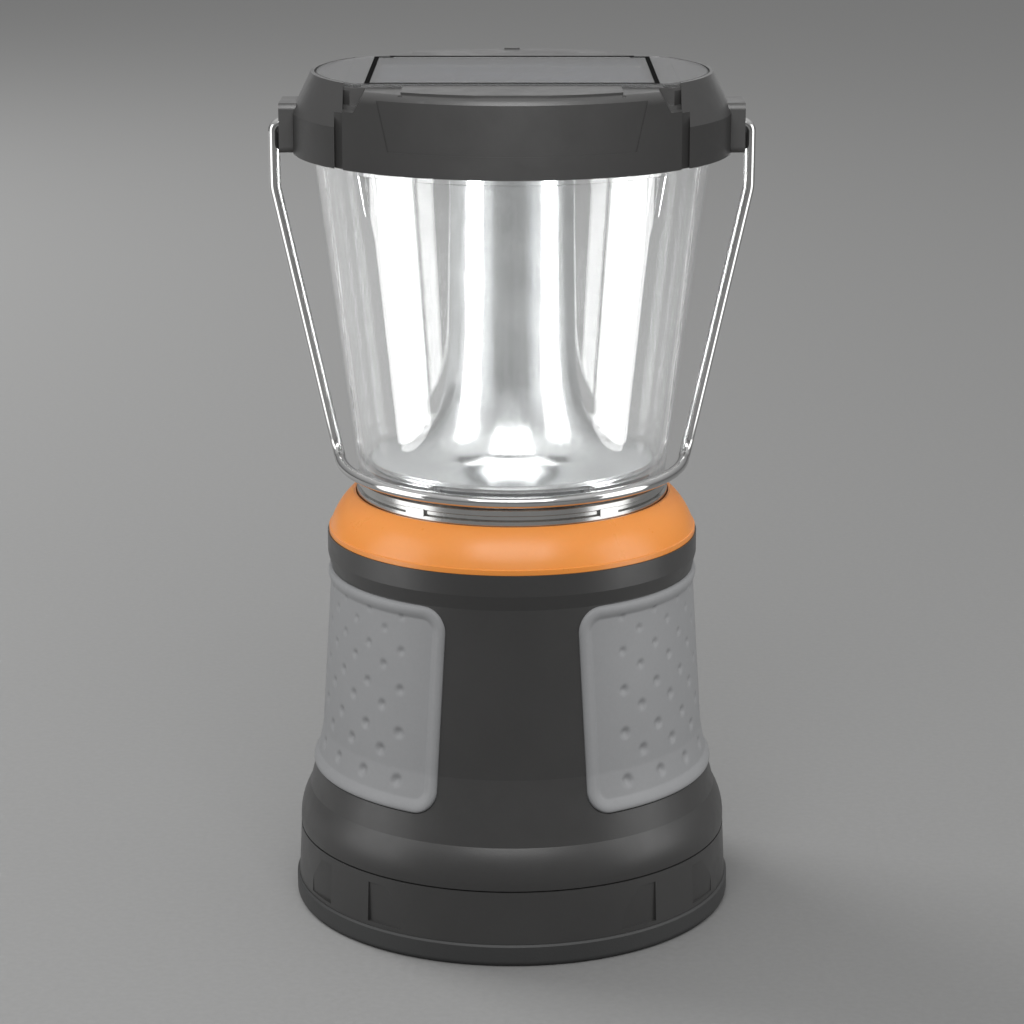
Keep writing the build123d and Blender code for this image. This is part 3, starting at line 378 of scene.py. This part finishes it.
def edge_steps(length, fine=0.3, fine_zone=4.5, coarse=0.6):
    """Distances from one edge to the other, closer together near both."""
    near = [fine * index for index in range(round(fine_zone / fine))]
    count = max(2, round((length - 2 * fine_zone) / coarse))
    middle = [fine_zone + (length - 2 * fine_zone) * index / count for index in range(count + 1)]
    return near + middle + [length - step for step in reversed(near)]


def corner_inset(from_edge):
    """How far the rounded corner pulls the side edge in, at a distance from the top or bottom."""
    if from_edge >= GRIP_CORNER:
        return 0.0
    rest = GRIP_CORNER - from_edge
    return GRIP_CORNER - math.sqrt(GRIP_CORNER ** 2 - rest ** 2)


def inside_distance(across, up, half_width, half_height):
    """Distance inwards from the rounded outline."""
    over_x = abs(across) - (half_width - GRIP_CORNER)
    over_y = abs(up) - (half_height - GRIP_CORNER)
    outer = math.hypot(max(over_x, 0), max(over_y, 0)) + min(max(over_x, over_y), 0)
    return GRIP_CORNER - outer


def rim_height(inside):
    """Rounded rim round the grip, tucked in at its outer edge."""
    if inside >= RIM_WIDTH:
        return 0.0
    share = max(0.0, inside / RIM_WIDTH)
    crown = math.sin(math.pi * min(1.0, share ** 0.75)) ** 0.8
    tuck = max(0.0, 1 - max(0.0, inside) / TUCK_WIDTH) ** 2
    return RIM_RISE * crown - RIM_TUCK * tuck


def grip_piece(node, side):
    """Soft grip with a rounded rim and dents that grow downwards."""
    radius = wall_profile()
    low, high = (corner.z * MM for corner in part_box(node))
    middle, half_height = (low + high) / 2, (high - low) / 2
    dents = grip_dents(radius)
    span = math.pi * GRIP_TURN * radius(middle)
    columns = [step / span for step in edge_steps(span)]
    shape = bmesh.new()
    rows = []
    for from_low in edge_steps(2 * half_height):
        height = low + from_low
        wall = radius(height)
        share = from_low / (2 * half_height)
        inset = GRIP_INSET_LOW + share * (GRIP_INSET_HIGH - GRIP_INSET_LOW)
        half_width = wall * math.acos(inset / wall)
        reach = half_width - corner_inset(min(from_low, 2 * half_height - from_low))
        near = [dent for dent in dents if abs(dent[1] - height) < dent[2]]
        row = []
        for column in columns:
            across = (2 * column - 1) * reach
            rise = rim_height(inside_distance(across, height - middle, half_width, half_height))
            for place, level, wide, deep in near:
                off_centre = ((across - place) ** 2 + (height - level) ** 2) / wide ** 2
                if off_centre < 1:
                    rise -= deep * (1 - off_centre) ** 1.3
            angle = side * across / wall
            out = (wall + rise) / MM
            row.append(shape.verts.new((side * out * math.cos(angle), out * math.sin(angle),
                                        height / MM)))
        rows.append(row)
    for lower, upper in zip(rows, rows[1:]):
        for index in range(len(lower) - 1):
            corners = (lower[index], lower[index + 1], upper[index + 1], upper[index])
            shape.faces.new(corners)
    skirt = [edge for edge in shape.edges if edge.is_boundary]
    made = bmesh.ops.extrude_edge_only(shape, edges=skirt)["geom"]
    for vertex in made:
        if isinstance(vertex, bmesh.types.BMVert):
            pull = 1 - SKIRT_DEPTH / math.hypot(vertex.co.x, vertex.co.y)
            vertex.co.x *= pull
            vertex.co.y *= pull
    bmesh.ops.recalc_face_normals(shape, faces=shape.faces)
    outward = sum(face.normal.x * side for face in shape.faces)
    if outward < 0:
        bmesh.ops.reverse_faces(shape, faces=shape.faces)
    for face in shape.faces:
        face.smooth = True
    mesh = bpy.data.meshes.new(node + "_moulded")
    shape.to_mesh(mesh)
    shape.free()
    mesh.materials.append(looks["grip_rubber"])
    piece = bpy.data.objects.new(node + "_moulded", mesh)
    bpy.context.scene.collection.objects.link(piece)
    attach(piece, "lantern")
    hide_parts(node)


# ---------------------------------------------------------------- button spring


def pressed_spring():
    """Stands for the button's return spring, as a copy of its CAD mesh on the lantern's body."""
    mesh = NODES["button_spring"].data.copy()
    mesh.name = "button_spring_coil"
    piece = bpy.data.objects.new("button_spring_coil", mesh)
    bpy.context.scene.collection.objects.link(piece)
    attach(piece, "lantern")
    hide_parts("button_spring")
    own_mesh(piece)


# ---------------------------------------------------------------- printed border


# Height of the ink's top over the plate, and its thickness
INK_RISE = 0.00006
INK_THICKNESS = 0.00004


def printed_border():
    """Black line printed on the clear top round the solar panel, with a notch at each back corner."""
    low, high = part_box("solar_frame")
    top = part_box("top_cover")[1].z + INK_RISE
    wide, deep, notch = 0.0013, 0.0021, 0.0042
    shoulder = high.y - notch / 2
    outer = [(low.x, low.y), (high.x, low.y), (high.x, shoulder), (high.x - notch, shoulder),
             (high.x - notch, high.y), (low.x + notch, high.y), (low.x + notch, shoulder),
             (low.x, shoulder)]
    shifts = [(wide, wide), (-wide, wide), (-wide, -deep), (-wide, -deep), (-wide, -deep),
              (wide, -deep), (wide, -deep), (wide, -deep)]
    shape = bmesh.new()
    rows = []
    for level in (top - INK_THICKNESS, top):
        rows.append([shape.verts.new((x, y, level)) for x, y in outer])
        rows.append([shape.verts.new((x + dx, y + dy, level)) for (x, y), (dx, dy) in zip(outer, shifts)])
    lower_out, lower_in, upper_out, upper_in = rows
    count = len(outer)
    for index in range(count):
        after = (index + 1) % count
        for first, second in ((upper_out, upper_in), (upper_in, lower_in), (lower_in, lower_out),
                              (lower_out, upper_out)):
            shape.faces.new((first[index], first[after], second[after], second[index]))
    bmesh.ops.recalc_face_normals(shape, faces=shape.faces)
    mesh = bpy.data.meshes.new("printed_border")
    shape.to_mesh(mesh)
    shape.free()
    ink = moulded("printed_ink_look", (0.006, 0.006, 0.006), 0.8, Specular_IOR_Level=0.02)
    mesh.materials.append(ink.material)
    piece = bpy.data.objects.new("printed_border", mesh)
    bpy.context.scene.collection.objects.link(piece)
    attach(piece, "lantern")


# ---------------------------------------------------------------- stage


FLOOR_RADIUS = 7.0
FLOOR_FLAT = 4.5
FLOOR_RISE = 0.12


def floor_sheet():
    """Wide plain mid-grey floor that rises towards its far rim."""
    mesh = bpy.data.meshes.new("floor")
    shape = bmesh.new()
    rings, spokes = 24, 96
    rows = []
    for ring in range(1, rings + 1):
        radius = FLOOR_RADIUS * (ring / rings) ** 2
        height = FLOOR_RISE * max(0.0, radius - FLOOR_FLAT) ** 2
        row = [shape.verts.new((radius * math.cos(math.tau * spoke / spokes),
                                radius * math.sin(math.tau * spoke / spokes), height))
               for spoke in range(spokes)]
        rows.append(row)
    shape.faces.new(rows[0])
    for inner, outer in zip(rows, rows[1:]):
        for spoke in range(spokes):
            after = (spoke + 1) % spokes
            shape.faces.new((inner[spoke], outer[spoke], outer[after], inner[after]))
    for face in shape.faces:
        face.smooth = True
    shape.to_mesh(mesh)
    shape.free()
    graph = Graph("floor_look", Specular_IOR_Level=0.25)
    paper = graph.spread(graph.noise(500, 5.0), 0.0, 1.0)
    graph.drive("Base Color", graph.blend(paper, (0.235, 0.235, 0.233, 1), (0.26, 0.26, 0.258, 1)))
    graph.drive("Roughness", graph.spread(paper, 0.62, 0.74, 0.0, 1.0))
    graph.bump(paper, 0.1, 0.0001)
    mesh.materials.append(graph.material)
    floor = bpy.data.objects.new("floor", mesh)
    bpy.context.scene.collection.objects.link(floor)


def softbox(name, place, aim, width, height, radiance, only=(), but=(), shades=()):
    """Rectangular light that faces a point. It may light only some objects or all but some, and have
    only some objects cast its shadows."""
    lamp = bpy.data.lights.new(name, "AREA")
    lamp.shape = "RECTANGLE"
    lamp.size = width
    lamp.size_y = height
    lamp.energy = radiance * math.pi * width * height
    holder = bpy.data.objects.new(name, lamp)
    holder.location = place
    holder.rotation_euler = (Vector(aim) - Vector(place)).to_track_quat("-Z", "Y").to_euler()
    holder.visible_camera = False
    bpy.context.scene.collection.objects.link(holder)
    if only or but:
        lit = bpy.data.collections.new(name + "_lit")
        for member in only or but:
            lit.objects.link(bpy.data.objects[member])
        holder.light_linking.receiver_collection = lit
        if but:
            for link in lit.collection_objects:
                link.light_linking.link_state = "EXCLUDE"
    if shades:
        shading = bpy.data.collections.new(name + "_shading")
        for node in shades:
            shading.objects.link(NODES[node])
        holder.light_linking.blocker_collection = shading


def studio():
    """Soft room light and one front softbox for everything, and softboxes limited to some objects.

    glint_top and lamp_glow light the reflector alone, and stand in for light that the cap blocks.
    """
    world = bpy.data.worlds.new("studio")
    bpy.context.scene.world = world
    world.use_nodes = True
    nodes, links = world.node_tree.nodes, world.node_tree.links
    place = nodes.new("ShaderNodeTexCoord")
    split = nodes.new("ShaderNodeSeparateXYZ")
    ramp = nodes.new("ShaderNodeValToRGB")
    ramp.color_ramp.elements[0].position = 0.0
    ramp.color_ramp.elements[0].color = (0.25, 0.25, 0.252, 1)
    ramp.color_ramp.elements[1].position = 0.8
    ramp.color_ramp.elements[1].color = (1, 1, 1, 1)
    links.new(place.outputs["Generated"], split.inputs[0])
    links.new(split.outputs["Z"], ramp.inputs[0])
    links.new(ramp.outputs[0], nodes["Background"].inputs["Color"])
    nodes["Background"].inputs["Strength"].default_value = 0.7
    reach, level = 0.3, 0.17
    for name, degrees in (("left", -72), ("right", 72)):
        angle = math.radians(degrees)
        place = (reach * math.sin(angle), -reach * math.cos(angle), level)
        softbox("glint_" + name, place, (0, 0, level), 0.15, 0.3, 9.0, only=SHINING)
        softbox("side_" + name, place, (0, 0, level), 0.18, 0.32, 2.2,
                but=SHINING + ("cap_bezel", "floor"))
    softbox("glint_top", (0, -0.2, 0.6), (0, 0, 0.12), 0.35, 0.25, 3.0, only=("reflector",),
            shades=("collar_ring",))
    softbox("front", (0, -0.72, 0.85), (0, 0, 0.12), 0.8, 0.5, 4.4)
    softbox("ledge", (0, -0.28, 0.85), (0, -0.05, 0.23), 0.3, 0.45, 6.0, only=("cap_bezel",))
    softbox("cap_fill", (0, -0.6, 0.5), (0, 0, 0.22), 0.5, 0.3, 5.0, only=("cap_bezel",))
    softbox("cap_rim", (0, 1.5, 0.4), (0, 0, 0.23), 1.6, 0.5, 0.7, only=("cap_bezel",))
    softbox("lamp_glow", (0, 0, 0.2125), (0, 0, 0.1), 0.072, 0.072, 2.2, only=("reflector",))
    softbox("backdrop", (-1.3, 1.0, 1.0), (-0.6, 0.6, 0), 1.0, 1.0, 8.0, only=("floor",))


def camera():
    """Camera for the main view, and the view transform."""
    bpy.context.scene.view_settings.view_transform = "Standard"
    lens = bpy.data.cameras.new("camera")
    lens.lens = LENS_MM
    lens.sensor_width = SENSOR_MM
    lens.clip_end = 50
    holder = bpy.data.objects.new("camera", lens)
    holder.location = CAMERA_PLACE
    line = Vector(CAMERA_AIM) - Vector(CAMERA_PLACE)
    holder.rotation_euler = line.to_track_quat("-Z", "Y").to_euler()
    bpy.context.scene.collection.objects.link(holder)
    bpy.context.scene.camera = holder


camera()
floor_sheet()
studio()
looks = make_looks()
dress_cad_nodes(looks)
grip_piece("grip_right", 1)
grip_piece("grip_left", -1)
pressed_spring()
printed_border()
